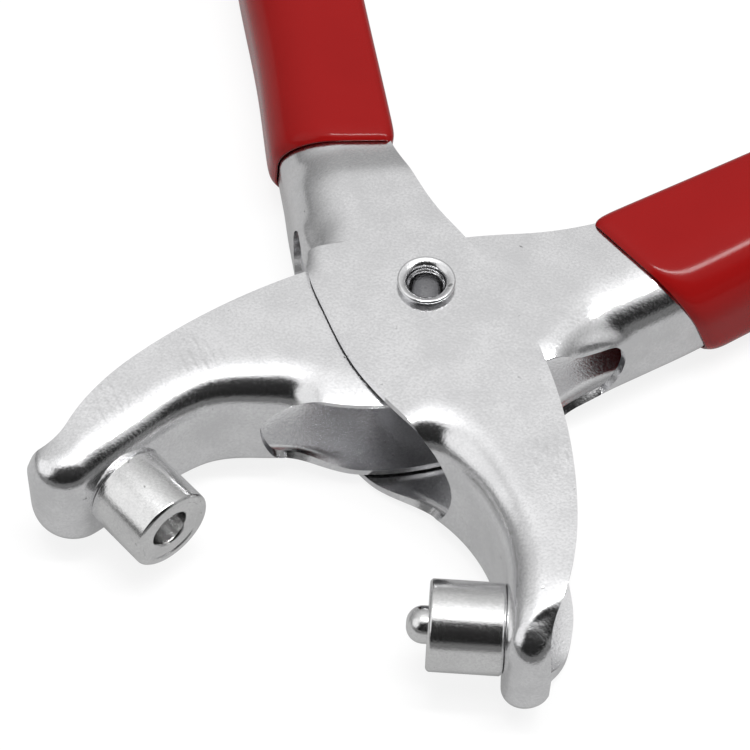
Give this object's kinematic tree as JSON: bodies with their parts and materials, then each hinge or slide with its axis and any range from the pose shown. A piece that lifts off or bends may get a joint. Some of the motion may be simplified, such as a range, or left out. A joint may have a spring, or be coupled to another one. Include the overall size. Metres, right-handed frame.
{
  "type": "eyelet pliers",
  "caption": "Pressed-steel hand pliers with a domed setter die facing a drilled anvil die, crossed at a tubular rivet, with sleeve grips, for setting eyelets in sheet.",
  "frame": {"origin": "on the pivot axis, halfway through the thickness", "axes": "+Z along the pivot axis; +Y from the jaws to the handles, along the centre line of the open pliers; +X towards the handle of the inner lever"},
  "size_m": [0.1324, 0.1335, 0.0196],
  "materials": {
    "plated_steel": "bright nickel plate",
    "die_steel": "turned and plated",
    "spring_steel": "drawn wire",
    "red_pvc": "glossy"
  },
  "bodies": {
    "outer": {"outer_lever": "plated_steel", "pivot_rivet": "plated_steel", "pivot_sleeve": "die_steel", "return_spring": "spring_steel", "setter_die": "die_steel", "setter_pin": "die_steel", "outer_grip": "red_pvc"},
    "inner": {"inner_lever": "plated_steel", "anvil_die": "die_steel", "inner_grip": "red_pvc"}
  },
  "joints": [
    {"name": "pivot", "type": "hinge", "parent": "outer", "child": "inner", "pos_m": [0, 0, 0], "axis": [0, 0, 1], "range_deg": [0, 44.3], "stiffness_Nm_per_rad": 0.6, "springref_deg": -17.19, "deforming": ["return_spring"]}
  ]
}
